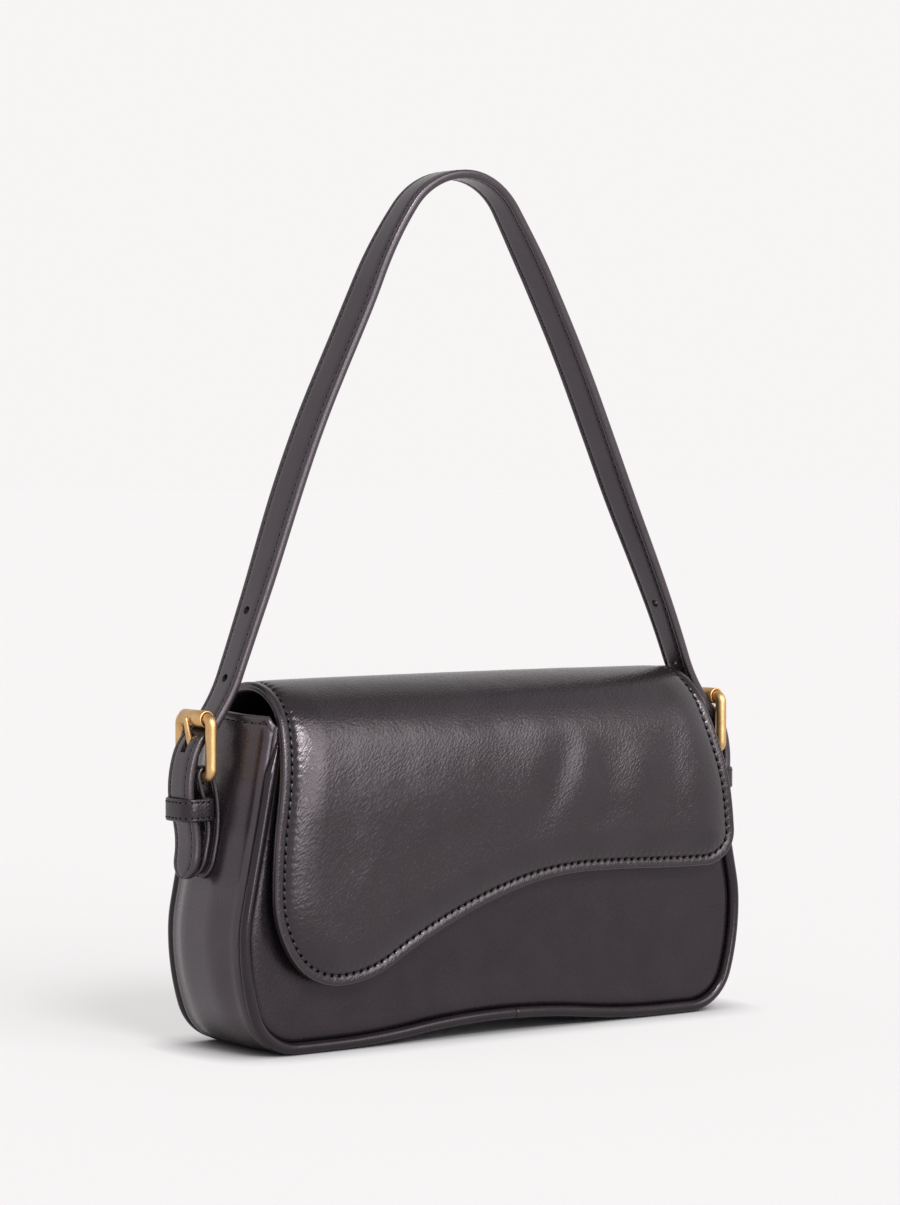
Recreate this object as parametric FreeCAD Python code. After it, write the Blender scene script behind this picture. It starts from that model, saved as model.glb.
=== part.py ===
import FreeCAD, Part
import math
import os

# A small leather shoulder bag: a gusseted body edged with piping, a flap with a waved lower edge that closes
# on a magnetic snap, and one shoulder strap buckled to a chape at each end.
# X runs across the bag, the front faces -Y and Z is up. The origin is under the middle, at the base.
# Everything is drawn about the mid-plane between the two pipings and moved to that origin at the end.

V = FreeCAD.Vector

# Fits
seam_gap = 0.1
flap_gap = 0.6
soft_gap = 0.3
running_gap = 0.05
overrun = 2.0
straight_share = 1e-6

# Body outline, seen from the front
half_width = 130.0
widest_z = 47.0
corner_run = 27.0
foot_length = 15.0
base_rise = 5.3
seat_low_z = 70.0
seat_low_in = 3.4
seat_length = 20.0
seat_rise_in = 4.1
mouth_in = 16.5
mouth_z = 137.0
mouth_lean = 11.0

# Body walls
depth = 54.0
piping_r = 2.4
gusset_t = 2.0
side_swell = 4.0
swell_flat_half = 12.0
panel_t = 1.8
panel_crown = 2.3
crown_share = 0.8
board_t = 1.0
base_board_t = 1.5
lining_t = 0.8

# Flap
flap_t = 4.0
flap_face_t = 1.5
flap_stand = 3.0
padding_margin = 7.0
arch_y = -2.3
arch_rise = 13.0
front_shoulder_drop = 55.0
back_shoulder_drop = 32.0
yoke_length = 14.0
yoke_corner_r = 12.0
hinge_y = 2.0
hinge_gap = 0.3
flap_top_in = 20.8
flap_side_in = 9.5
flap_side_z = 80.0
flap_top_lean = 4.0
flap_side_lean = 4.0

# Waved lower edge of the flap, from the deep lobe on the left to the short right end
lobe_x = -87.0
lobe_z = 27.6
wave_x = -34.0
wave_z = 48.0
wave_slope = 24.0
crest_x = 41.0
crest_z = 66.0
hem_z = 64.6
hem_corner = 16.5

# Magnetic snap
snap_x = -60.0
snap_z = 60.0
snap_r = 9.0
snap_bore_r = 3.4
snap_floor = 0.3
stud_r = 2.2
stud_plate_t = 0.7
stud_reach = 1.5
washer_r = 7.0
washer_t = 0.7

# Buckles
wire_r = 2.4
frame_corner_r = 2.6
frame_length = 22.8
frame_side_gap = 0.9
buckle_out = 3.2
heel_rise = 43.1
roller_r = 3.5
roller_end_gap = 0.3
prong_eye_r = 3.8
prong_base_r = 1.5
prong_tip_r = 1.1
prong_length = 27.0
prong_eye_half = 1.5
prong_rest_gap = 0.2
frame_swing = 6.0
prong_swing = 8.0
prong_slot_margin = 16.0

# Strap
strap_width = 16.0
strap_layer_t = 1.8
strap_height = 213.8
pivot_rise = 12.3
pass_lean = 34.5
leg_bend_rise = 5.5
leg_bend_lean = 21.0
leg_straight_rise = 35.0
leg_lean = 24.7
crown_drop = 46.0
apex_shift = -4.0
crown_shift = -5.0
hole_r = 1.75
hole_first_rise = 3.5
hole_pitch = 27.0
hole_count = 2

# Strap ends, below the roller
pass_drop = 12.7
belly_out = 9.7
belly_below_heel = 0.8
tail_out = 6.6
tail_tip_out = 8.0
tail_fold_drop = 26.0
tail_drop = 41.8
tail_lean = 3.0

# Chapes and keepers
chape_t = 1.8
layer_gap = 2.3
chape_drop = 1.0
chape_sewn = 15.0
chape_heel_lean = 15.0
keeper_t = 1.5
keeper_height = 9.3
keeper_below_heel = 9.0
keeper_corner_r = 1.4

# Levels and places that follow from the sizes above
strap_t = 2 * strap_layer_t
half_strap = strap_width / 2
half_depth = depth / 2
panel_inset = 2 * piping_r + 3 * soft_gap
crown_y = half_depth + panel_crown
flap_front = crown_y + flap_stand + flap_t
flap_back = crown_y + flap_gap + flap_t
centre_shift = (flap_front - flap_back) / 2
arch_top = mouth_z + arch_rise
foot_outer = half_width - corner_run
foot_inner = foot_outer - foot_length
seat_lean = math.degrees(math.atan2(seat_rise_in, seat_length))
flap_half_top = half_width - flap_top_in
flap_half_side = half_width - flap_side_in
buckle_x = half_width + buckle_out
heel_z = seat_low_z + heel_rise
toe_z = heel_z + frame_length
pivot_z = toe_z + pivot_rise
frame_half = half_strap + frame_side_gap + wire_r
chape_stack = 2 * chape_t + layer_gap
whole_x = half_width + buckle_out + belly_out + keeper_t + overrun


def front_plane(y):
    """Places the two coordinates of an outline seen from the front, at this depth."""
    return lambda x, z: V(x, y, z)


def side_plane(x):
    """Places the two coordinates of a profile seen from the side, at this distance across."""
    return lambda y, z: V(x, y, z)


def unit(angle):
    return math.cos(math.radians(angle)), math.sin(math.radians(angle))


def shifted(nodes, distance):
    """A parallel run of nodes, this far to the left of the direction of travel."""
    moved = []
    for a, b, angle in nodes:
        ca, sa = unit(angle)
        moved.append((a - distance * sa, b + distance * ca, angle))
    return moved


def tangent_arc(start, corner, end, place):
    """The arc from start to end that is tangent to both lines through the corner."""
    mid = ((start[0] + end[0]) / 2, (start[1] + end[1]) / 2)
    half_chord = math.dist(start, mid)
    height = math.dist(corner, mid)
    if height < half_chord * straight_share:
        return Part.LineSegment(place(*start), place(*end)).toShape()
    sagitta = half_chord * math.tan(math.atan2(height, half_chord) / 2)
    top = [m + (c - m) * sagitta / height for m, c in zip(mid, corner)]
    return Part.Arc(place(*start), place(*top), place(*end)).toShape()


def smooth(nodes, place):
    """Edges through nodes (first, second, direction in degrees), two tangent arcs between neighbours."""
    edges = []
    for (ax, ay, a_angle), (bx, by, b_angle) in zip(nodes, nodes[1:]):
        ta, tb = unit(a_angle), unit(b_angle)
        chord = (bx - ax, by - ay)
        along = chord[0] * (ta[0] + tb[0]) + chord[1] * (ta[1] + tb[1])
        spread = 2 * (1 - ta[0] * tb[0] - ta[1] * tb[1])
        square = chord[0] ** 2 + chord[1] ** 2
        if spread < straight_share ** 2:
            reach = square / (2 * along)
        else:
            reach = (math.sqrt(along ** 2 + spread * square) - along) / spread
        first = (ax + ta[0] * reach, ay + ta[1] * reach)
        second = (bx - tb[0] * reach, by - tb[1] * reach)
        joint = ((first[0] + second[0]) / 2, (first[1] + second[1]) / 2)
        edges.append(tangent_arc((ax, ay), first, joint, place))
        edges.append(tangent_arc(joint, second, (bx, by), place))
    return edges


def wire_of(edges):
    return Part.Wire(Part.sortEdges(edges)[0])


def closing_line(nodes, place):
    """The straight edge from the last node of a run back to its first."""
    return Part.LineSegment(place(*nodes[-1][:2]), place(*nodes[0][:2])).toShape()


def band(nodes, near, far, place):
    """The face between two curves parallel to the nodes, at these two distances to the left."""
    near_nodes, far_nodes = shifted(nodes, near), shifted(nodes, far)
    edges = smooth(near_nodes, place) + smooth(far_nodes, place)
    for end in (0, -1):
        edges.append(Part.LineSegment(place(*near_nodes[end][:2]), place(*far_nodes[end][:2])).toShape())
    return Part.Face(wire_of(edges))


def box(x_range, y_range, z_range):
    size = [b - a for a, b in (x_range, y_range, z_range)]
    return Part.makeBox(*size, V(x_range[0], y_range[0], z_range[0]))


def crossing(wire, level, across):
    """Where a curve seen from the front, or with across from the side, meets a line at this level."""
    bounds = wire.BoundBox
    if across:
        low, high = V(0, level, bounds.ZMin - overrun), V(0, level, bounds.ZMax + overrun)
    else:
        low, high = V(bounds.XMin - overrun, 0, level), V(bounds.XMax + overrun, 0, level)
    return wire.distToShape(Part.makeLine(low, high))[1][0][0]


def mirrored(shape):
    return shape.mirror(V(0, 0, 0), V(1, 0, 0))


def disc(radius, y, thickness):
    """A round of the snap, its face towards the front at this depth."""
    return Part.makeCylinder(radius, thickness, V(snap_x, y, snap_z), V(0, 1, 0))


def washer_seat():
    """The clearance for the snap's washers, through everything in front of the mid-plane."""
    return disc(washer_r + seam_gap, -depth, depth)


# Body


def body_nodes(swell=0):
    """The body's outline from its left mouth corner, down, along the base and up to the right one."""
    side_x = half_width + swell
    seat_high_in = seat_low_in + seat_rise_in
    right = [
        (0, base_rise, 0),
        (foot_inner, 0, 0),
        (foot_outer, 0, 0),
        (side_x, widest_z, 90),
        (side_x - seat_low_in, seat_low_z, 90 + seat_lean),
        (side_x - seat_high_in, seat_low_z + seat_length, 90 + seat_lean),
        (half_width - mouth_in, mouth_z, 90 + mouth_lean),
    ]
    left = [(-x, z, -angle) for x, z, angle in reversed(right)]
    return left + right[1:]


def body_wire(inset, y, swell=0):
    nodes = shifted(body_nodes(swell), inset)
    place = front_plane(y)
    return wire_of(smooth(nodes, place) + [closing_line(nodes, place)])


def body_prism(inset, half_y):
    return Part.Face(body_wire(inset, -half_y)).extrude(V(0, 2 * half_y, 0))


def mouth_cut(hollow, inset, half_y):
    """A hollow inside an inset of the body, run out through the mouth."""
    nodes = shifted(body_nodes(), inset)
    left, right = nodes[0], nodes[-1]
    above = box((left[0], right[0]), (-half_y, half_y), (right[1] - seam_gap, mouth_z + overrun))
    return hollow.fuse(above)


def flap_profile():
    """The flap's outer face seen from the side: up the front, over the arch and down at the back."""
    return [
        (-flap_front, -overrun, 90),
        (-flap_front, arch_top - front_shoulder_drop, 90),
        (arch_y, arch_top, 0),
        (flap_back, arch_top - back_shoulder_drop, -90),
        (flap_back, -overrun, -90),
    ]


def under_flap():
    """The space that the arch of the flap leaves for the body."""
    nodes = shifted(flap_profile(), -flap_t - flap_gap / 2)
    place = side_plane(-whole_x)
    face = Part.Face(wire_of(smooth(nodes, place) + [closing_line(nodes, place)]))
    return face.extrude(V(2 * whole_x, 0, 0))


def gusset_block(inset, half_y, spare):
    """An inset of the gusset's outer form, whose sides swell out between the two seams."""
    stations = [(-half_y, 0), (-swell_flat_half, side_swell), (swell_flat_half, side_swell), (half_y, 0)]
    if spare:
        stations = [(-half_y - spare, 0)] + stations + [(half_y + spare, 0)]
    return Part.makeLoft([body_wire(inset, y, swell) for y, swell in stations], True, True)


def gusset():
    """The strip round the sides and the base."""
    half_y = half_depth - piping_r - seam_gap
    hollow = mouth_cut(gusset_block(gusset_t, half_y, overrun), gusset_t, half_y + overrun)
    return gusset_block(0, half_y, 0).cut(hollow)


def piping(side):
    """The corded edge between a panel and the gusset, on the front (-1) or the back (1)."""
    nodes = shifted(body_nodes(), piping_r + soft_gap)
    y = side * half_depth
    path = wire_of(smooth(nodes, front_plane(y)))
    start_x, start_z, angle = nodes[0]
    ca, sa = unit(angle)
    ring = Part.Wire(Part.makeCircle(piping_r, V(start_x, y, start_z), V(ca, 0, sa)))
    return path.makePipeShell([ring], True, False)


def panel(side):
    """A leather panel with a flat inner face and a shallow crown towards the outside."""
    middle = V(0, side * half_depth, mouth_z / 2)
    inner = body_wire(panel_inset, side * (half_depth - panel_t))
    rim = body_wire(panel_inset, side * half_depth)
    crown = rim.scaled(crown_share, middle).translated(V(0, side * panel_crown, 0))
    return Part.makeLoft([inner, rim, crown], True, True)


def board(side):
    """The stiffener behind a panel. The front one has a seat for the snap's washer."""
    outer_y = half_depth - panel_t - seam_gap
    sheet = Part.Face(body_wire(panel_inset, side * outer_y)).extrude(V(0, -side * board_t, 0))
    return sheet.cut(washer_seat())


def base_board():
    """The stiffener that lies on the bottom of the gusset, between its two rounded corners."""
    inset = gusset_t + seam_gap
    half_y = half_depth - panel_t - board_t - 2 * seam_gap
    slab = body_prism(inset, half_y).cut(body_prism(inset + base_board_t, half_y + overrun))
    return slab.common(box((-foot_outer, foot_outer), (-half_depth, half_depth), (0, widest_z / 2)))


def lining():
    inset = gusset_t + base_board_t + 2 * seam_gap
    half_y = half_depth - panel_t - board_t - 2 * seam_gap
    hollow = body_prism(inset + lining_t, half_y - lining_t)
    return body_prism(inset, half_y).cut(mouth_cut(hollow, inset + lining_t, half_y - lining_t))


# Flap


def flap_nodes():
    """The flap's outline seen from the front, from its top left corner round to its top right corner."""
    side_x, top_x = flap_half_side, flap_half_top
    return [
        (-top_x, arch_top, -90 - flap_top_lean),
        (-side_x, flap_side_z, -90 - flap_side_lean),
        (lobe_x, lobe_z, 0),
        (wave_x, wave_z, wave_slope),
        (crest_x, crest_z, 0),
        (side_x - hem_corner, hem_z, 0),
        (side_x, flap_side_z, 90 + flap_side_lean),
        (top_x, arch_top, 90 + flap_top_lean),
    ]


def flap_sheet(near, far):
    """A layer of the arch, between two depths below the flap's outer face."""
    face = band(flap_profile(), -near, -far, side_plane(-whole_x))
    return face.extrude(V(2 * whole_x, 0, 0))


def flap_outline(margin):
    """The flap's outline as a block that ends at the bend line, drawn in by a margin."""
    nodes = flap_nodes()
    place = front_plane(-flap_front - overrun)
    top = [(flap_half_top, arch_top), (flap_half_top, arch_top + overrun)]
    top += [(-flap_half_top, arch_top + overrun), (-flap_half_top, arch_top)]
    edges = smooth(nodes, place)
    edges += [Part.LineSegment(place(*a), place(*b)).toShape() for a, b in zip(top, top[1:])]
    face = Part.Face(wire_of(edges))
    if margin:
        face = face.makeOffset2D(-margin)
    reach = hinge_y - hinge_gap / 2 + flap_front + overrun
    return face.extrude(V(0, reach - margin, 0))


def flap_layers():
    """The flap's outer leather, its padding and its facing, which meet in a sewn rim round the padding."""
    facing_depth = flap_t - flap_face_t
    outline = flap_outline(0)
    core = flap_outline(padding_margin)
    padding = flap_sheet(flap_face_t, facing_depth).common(core)
    outer = flap_sheet(0, facing_depth).common(outline).cut(padding)
    facing = flap_sheet(facing_depth, flap_t).common(outline)
    return {"flap_outer": outer, "flap_padding": padding.cut(washer_seat()), "flap_facing": facing}


def flap_yoke():
    """The back of the arch, sewn to the back panel, that the flap bends away from."""
    low_z = arch_top - back_shoulder_drop - yoke_length
    plate = box((-flap_half_top, flap_half_top), (hinge_y + hinge_gap / 2, flap_back + overrun),
                (low_z, arch_top + overrun))
    corners = [e for e in plate.Edges if e.BoundBox.ZMax < low_z + seam_gap and e.BoundBox.YLength > overrun]
    return flap_sheet(0, flap_t).common(plate.makeFillet(yoke_corner_r, corners))


# Magnetic snap


def snap():
    """The snap's socket on the front panel and its stud under the flap, each held by a washer."""
    facing_y = flap_t - flap_front
    socket_t = flap_stand - stud_plate_t - seam_gap
    socket_y = -crown_y - socket_t
    socket = disc(snap_r, socket_y, socket_t).cut(disc(snap_bore_r, socket_y, socket_t - snap_floor))
    stud = disc(snap_r, facing_y, stud_plate_t).fuse(disc(stud_r, facing_y, stud_plate_t + stud_reach))
    panel_inner = panel_t - half_depth
    padding_y = facing_y - flap_face_t
    return {
        "snap_socket": socket,
        "snap_socket_washer": disc(washer_r, panel_inner, washer_t),
        "snap_stud": stud.removeSplitter(),
        "snap_stud_washer": disc(washer_r, padding_y - washer_t, washer_t),
    }


# Buckles, drawn on the right


def buckle_frame():
    """A rectangular frame of round wire, standing on its heel bar."""
    place = side_plane(buckle_x)
    r = frame_corner_r
    run = [
        (0, heel_z, 0),
        (frame_half - r, heel_z, 0),
        (frame_half, heel_z + r, 90),
        (frame_half, toe_z - r, 90),
        (frame_half - r, toe_z, 180),
        (r - frame_half, toe_z, 180),
        (-frame_half, toe_z - r, 270),
        (-frame_half, heel_z + r, 270),
        (r - frame_half, heel_z, 360),
        (0, heel_z, 360),
    ]
    path = wire_of(smooth(run, place))
    section = Part.Wire(Part.makeCircle(wire_r, V(buckle_x, 0, heel_z), V(0, 1, 0)))
    return path.makePipeShell([section], True, False)


def buckle_roller():
    half = frame_half - frame_corner_r - roller_end_gap
    base = V(buckle_x, -half, toe_z)
    sleeve = Part.makeCylinder(roller_r, 2 * half, base, V(0, 1, 0))
    return sleeve.cut(Part.makeCylinder(wire_r + running_gap, 2 * half, base, V(0, 1, 0)))


def prong_lean():
    """The prong's lean out of upright when its tip rests on the roller."""
    return math.degrees(math.asin((roller_r + prong_tip_r + prong_rest_gap) / frame_length))


def buckle_prong():
    """A tapered pin with an eye round the heel bar."""
    lean = math.radians(prong_lean())
    axis = V(math.sin(lean), 0, math.cos(lean))
    heel = V(buckle_x, 0, heel_z)
    pin = Part.makeCone(prong_base_r, prong_tip_r, prong_length, heel, axis)
    tip = Part.makeSphere(prong_tip_r, heel + axis * prong_length)
    base = V(buckle_x, -prong_eye_half, heel_z)
    eye = Part.makeCylinder(prong_eye_r, 2 * prong_eye_half, base, V(0, 1, 0))
    bore_base = V(buckle_x, -frame_half, heel_z)
    bore = Part.makeCylinder(wire_r + running_gap, 2 * frame_half, bore_base, V(0, 1, 0))
    return pin.fuse([tip, eye]).cut(bore).removeSplitter()


# Strap


def pass_node(z):
    """A node of the strap's outer face on the straight stretch where it passes inside the roller."""
    reach = roller_r + soft_gap
    ca, sa = unit(pass_lean)
    touch_x, touch_z = buckle_x - reach * ca, toe_z - reach * sa
    return touch_x - (z - touch_z) * math.tan(math.radians(pass_lean)), z


def strap_nodes():
    """The strap's outer face above the buckles, from the right leg's foot over the top to the left one."""
    bend_z = pivot_z + leg_bend_rise
    straight_z = pivot_z + leg_straight_rise
    apex_z = pivot_z + strap_height
    crown_z = apex_z - crown_drop
    foot_x, foot_z = pass_node(pivot_z - half_strap)
    bend_x = foot_x - (bend_z - foot_z) * math.tan(math.radians((pass_lean + leg_bend_lean) / 2))
    straight_x = bend_x - (straight_z - bend_z) * math.tan(math.radians((leg_bend_lean + leg_lean) / 2))
    crown_x = straight_x - (crown_z - straight_z) * math.tan(math.radians(leg_lean))
    right = [
        (foot_x, foot_z, 90 + pass_lean),
        (bend_x, bend_z, 90 + leg_bend_lean),
        (straight_x, straight_z, 90 + leg_lean),
        (crown_x + crown_shift, crown_z, 90 + leg_lean),
    ]
    left = [(-x, z, 360 - angle) for x, z, angle in reversed(right)]
    left[0] = (crown_shift - crown_x, crown_z, left[0][2])
    return right + [(apex_shift, apex_z, 180)] + left


def strap_layer(near, far):
    """One of the two leathers of the strap, with rounded feet about the line where the strap bends."""
    face = band(strap_nodes(), near, far, front_plane(-half_strap))
    layer = face.extrude(V(0, strap_width, 0))
    round_foot = Part.makeCylinder(half_strap, 2 * whole_x, V(-whole_x, 0, pivot_z), V(1, 0, 0))
    above = box((-whole_x, whole_x), (-half_strap, half_strap), (pivot_z, pivot_z + strap_height + overrun))
    layer = layer.common(round_foot.fuse(above))
    for hole in strap_holes():
        layer = layer.cut(hole)
    return layer


def strap_holes():
    """Punched holes on the middle line of each leg."""
    outer = wire_of(smooth(strap_nodes()[:4], front_plane(0)))
    ca, sa = unit(leg_lean)
    holes = []
    for index in range(hole_count):
        point = crossing(outer, pivot_z + hole_first_rise + index * hole_pitch, False)
        start = point + V(ca, 0, sa) * overrun
        right = Part.makeCylinder(hole_r, strap_t + 2 * overrun, start, V(-ca, 0, -sa))
        holes += [right, mirrored(right)]
    return holes


def tail_nodes():
    """The outer face of the strap's end: inside the roller, out over the heel bar and down to the tip."""
    top_x, top_z = pass_node(pivot_z - half_strap - soft_gap)
    low_x, low_z = pass_node(toe_z - pass_drop)
    return [
        (top_x, top_z, pass_lean - 90),
        (low_x, low_z, pass_lean - 90),
        (buckle_x + belly_out, heel_z - belly_below_heel, -90),
        (buckle_x + tail_out, heel_z - tail_fold_drop, -90 - tail_lean),
        (buckle_x + tail_tip_out, heel_z - tail_drop, -90 + tail_lean),
    ]


def rounded_end(low_z, high_z):
    """A block the width of the strap whose lower end is a half round."""
    upper = box((0, whole_x), (-half_strap, half_strap), (low_z + half_strap, high_z))
    return upper.fuse(Part.makeCylinder(half_strap, whole_x, V(0, 0, low_z + half_strap), V(1, 0, 0)))


def prong_slot():
    """The wedge that the prong sweeps through the strap as the buckle and the prong swing outwards."""
    low = prong_lean() - prong_slot_margin
    high = prong_lean() + frame_swing + prong_swing + prong_slot_margin
    reach = prong_length + overrun
    half = prong_base_r + soft_gap
    points = [V(buckle_x, -half, heel_z)]
    for lean in (low, high):
        sa, ca = unit(90 - lean)
        points.append(V(buckle_x + reach * sa, -half, heel_z + reach * ca))
    return Part.Face(Part.makePolygon(points, True)).extrude(V(0, 2 * half, 0))


def tail_layer(near, far):
    face = band(tail_nodes(), near, far, front_plane(-half_strap))
    layer = face.extrude(V(0, strap_width, 0))
    end = rounded_end(heel_z - tail_drop, toe_z + pivot_rise)
    return layer.common(end).cut(prong_slot())


# Chape and keeper


def chape_nodes():
    """The line midway between the chape's two leathers, from its sewn end up to the heel bar."""
    stand = seam_gap + chape_stack / 2
    ca, sa = unit(seat_lean)
    nodes = []
    for rise in (-overrun, chape_sewn):
        x = half_width + side_swell - seat_low_in - seat_rise_in * rise / seat_length
        nodes.append((x + stand * ca, seat_low_z + rise + stand * sa, 90 + seat_lean))
    return nodes + [(buckle_x, heel_z, 90 - chape_heel_lean)]


def chape():
    """A leather tab folded round the heel bar, its two ends sewn one on the other to the gusset."""
    place = front_plane(-half_strap)
    half = chape_stack / 2
    bar_r = wire_r + running_gap
    nodes = chape_nodes()
    start = V(buckle_x, -half_strap, heel_z)
    along = V(0, strap_width, 0)
    tab = band(nodes, -half, half, place).extrude(along)
    tab = tab.fuse(Part.makeCylinder(bar_r + chape_t, strap_width, start, V(0, 1, 0)))
    tab = tab.cut(band(nodes, -layer_gap / 2, layer_gap / 2, place).extrude(along))
    tab = tab.cut(Part.makeCylinder(bar_r, strap_width, start, V(0, 1, 0)))
    slot_r = prong_eye_r + soft_gap
    slot_half = prong_eye_half + soft_gap
    slot = box((buckle_x - slot_r, whole_x), (-slot_half, slot_half), (heel_z - slot_r, toe_z))
    return tab.cut(slot).common(rounded_end(seat_low_z + chape_drop, toe_z))


def keeper():
    """A loop of leather round the strap's end and the outer leather of the chape."""
    tail = wire_of(smooth(tail_nodes(), front_plane(0)))
    middle = wire_of(smooth(chape_nodes(), front_plane(0)))
    top_z = heel_z - keeper_below_heel
    levels = (top_z - keeper_height, top_z)
    outer_x = [crossing(tail, z, False).x + soft_gap for z in levels]
    inner_x = [crossing(middle, z, False).x + keeper_t / 2 for z in levels]

    def block(grow, half_y):
        corners = [(inner_x[0] - grow, levels[0]), (outer_x[0] + grow, levels[0])]
        corners += [(outer_x[1] + grow, levels[1]), (inner_x[1] - grow, levels[1])]
        points = [V(x, -half_y, z) for x, z in corners]
        return Part.Face(Part.makePolygon(points, True)).extrude(V(0, 2 * half_y, 0))

    inside_half = half_strap + soft_gap
    sleeve = block(keeper_t, inside_half + keeper_t)
    uprights = [e for e in sleeve.Edges if e.BoundBox.ZLength > keeper_height / 2]
    return sleeve.makeFillet(keeper_corner_r, uprights).cut(block(0, inside_half))


def build():
    """Every piece by name, drawn about the mid-plane between the pipings."""
    arch = under_flap()
    pieces = {
        "front_panel": panel(-1).common(arch),
        "back_panel": panel(1).common(arch),
        "gusset": gusset().common(arch),
        "front_piping": piping(-1).common(arch),
        "back_piping": piping(1).common(arch),
        "lining": lining().common(arch),
        "front_board": board(-1).common(arch),
        "back_board": board(1).common(arch),
        "base_board": base_board(),
        "flap_yoke": flap_yoke(),
        "strap_face": strap_layer(0, strap_layer_t),
        "strap_backing": strap_layer(strap_layer_t, strap_t),
    }
    pieces.update(flap_layers())
    pieces.update(snap())
    right_side = {
        "strap_end_face": tail_layer(0, -strap_layer_t),
        "strap_end_backing": tail_layer(-strap_layer_t, -strap_t),
        "chape": chape(),
        "keeper": keeper(),
        "buckle_frame": buckle_frame(),
        "buckle_roller": buckle_roller(),
        "buckle_prong": buckle_prong(),
    }
    for name, shape in right_side.items():
        pieces[name + "_right"] = shape
        pieces[name + "_left"] = mirrored(shape)
    return pieces


os.makedirs("parts", exist_ok=True)
bend = crossing(wire_of(smooth(flap_profile(), side_plane(0))), hinge_y, True)
print("flap bend line at y %.3f z %.3f" % (bend.y + centre_shift, bend.z))
print("strap bend line at y %.3f z %.3f" % (centre_shift, pivot_z))
print("heel bar x %.3f z %.3f, toe bar z %.3f, prong lean %.2f" % (buckle_x, heel_z, toe_z, prong_lean()))
for name, shape in build().items():
    placed = shape.translated(V(0, centre_shift, 0))
    placed.exportStep("parts/%s.step" % name)
    print("%-24s solids %d valid %s" % (name, len(placed.Solids), placed.isValid()))
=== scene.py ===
import math

import bmesh
import bpy
import numpy as np
from mathutils import Matrix, Vector, noise

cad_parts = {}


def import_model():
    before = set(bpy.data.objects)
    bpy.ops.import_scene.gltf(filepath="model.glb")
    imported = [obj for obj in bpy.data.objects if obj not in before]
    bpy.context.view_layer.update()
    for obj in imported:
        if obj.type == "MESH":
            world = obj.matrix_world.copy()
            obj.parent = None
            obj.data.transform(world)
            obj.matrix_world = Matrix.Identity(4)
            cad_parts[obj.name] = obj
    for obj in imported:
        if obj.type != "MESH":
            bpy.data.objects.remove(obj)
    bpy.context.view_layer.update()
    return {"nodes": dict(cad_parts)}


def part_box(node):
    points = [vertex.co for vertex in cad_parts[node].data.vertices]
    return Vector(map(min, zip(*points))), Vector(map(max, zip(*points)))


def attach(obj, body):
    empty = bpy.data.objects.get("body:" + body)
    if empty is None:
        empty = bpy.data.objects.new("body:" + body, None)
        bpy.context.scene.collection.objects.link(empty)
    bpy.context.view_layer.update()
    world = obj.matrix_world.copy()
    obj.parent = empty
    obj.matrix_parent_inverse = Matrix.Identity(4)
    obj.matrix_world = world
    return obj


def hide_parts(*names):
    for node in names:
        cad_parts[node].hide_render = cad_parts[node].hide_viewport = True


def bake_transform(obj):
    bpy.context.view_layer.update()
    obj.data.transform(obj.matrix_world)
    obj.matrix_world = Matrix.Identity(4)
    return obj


# The dressed leather bag. Every length is in millimetres, as in the solids, until a mesh is made.
# X runs across the bag, the front faces -Y, and Y is counted from the mid-plane between the two pipings.

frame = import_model()

MM = 0.001
SIDES = {"right": 1, "left": -1}


def node_mm(node):
    """A CAD node's lowest and highest corners."""
    return [np.array(corner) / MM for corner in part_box(node)]


gusset_low, gusset_high = node_mm("gusset")
flap_low, flap_high = node_mm("flap_outer")
yoke_low, yoke_high = node_mm("flap_yoke")
frame_low, frame_high = node_mm("buckle_frame_right")
mid_y = (gusset_low[1] + gusset_high[1]) / 2

# Body
side_swell = 4.0
swell_run = 15.9
half_width = gusset_high[0] - side_swell
half_depth = 27.0
half_gusset = 24.9
body_step = 2.0
widest_z = 47.0
corner_run = 27.0
foot_length = 15.0
base_rise = 5.3
seat_low_z = 70.0
seat_low_in = 3.4
seat_length = 20.0
seat_rise_in = 4.1
seat_lean = math.degrees(math.atan2(seat_rise_in, seat_length))
mouth_in = 17.1
mouth_z = 140.0
mouth_lean = 11.0
mouth_swell = 5.0
piping_r = 2.4
piping_in = 2.7
piping_top_z = 127.0
piping_join_x = 7.0
piping_join_groove = 0.3
piping_end = 16.0
piping_end_in = 2.2
piping_end_y = 1.5
piping_end_thin = 0.55
panel_in = 3.9
panel_top_z = 129.5
panel_wave = 0.35
panel_clear = 0.9
leather_t = 0.7
lining_t = 0.3
lining_in = 4.7
lining_half = 23.3
lining_top_z = 125.0
lining_sag = 0.5
lining_clear = 3.4
hem_top_z = 138.6
hem_fall = 0.045
hem_fall_y = 5.0
hem_tuck = 1.5
hem_end = 11.0
hem_slip = (15, 60)
hem_stitch = 3.4

# Flap
arch_top = flap_high[2]
flap_t = 4.0
flap_front = mid_y - flap_low[1]
flap_back = yoke_high[1] - mid_y
arch_y = -2.3
front_shoulder_drop = 55.0
back_shoulder_drop = 32.0
yoke_corner_r = 12.0
flap_half_top = yoke_high[0]
flap_half_side = half_width - 9.5
flap_side_z = 80.0
flap_lean = 4.0
flap_stitch_in = 4.2
flap_hole_shade_r = 0.62
roll_in = 4.4
roll_width = 15.0
puff_top, puff_front, puff_back = 0.3, 3.2, 0.9
relief_in = 11.5
flap_crown = 1.2
fold_x = 20.5
fold_s = 93.0
fold_pitch = 35.0
fold_slant = 0.6
fold_depth = 0.55

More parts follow.
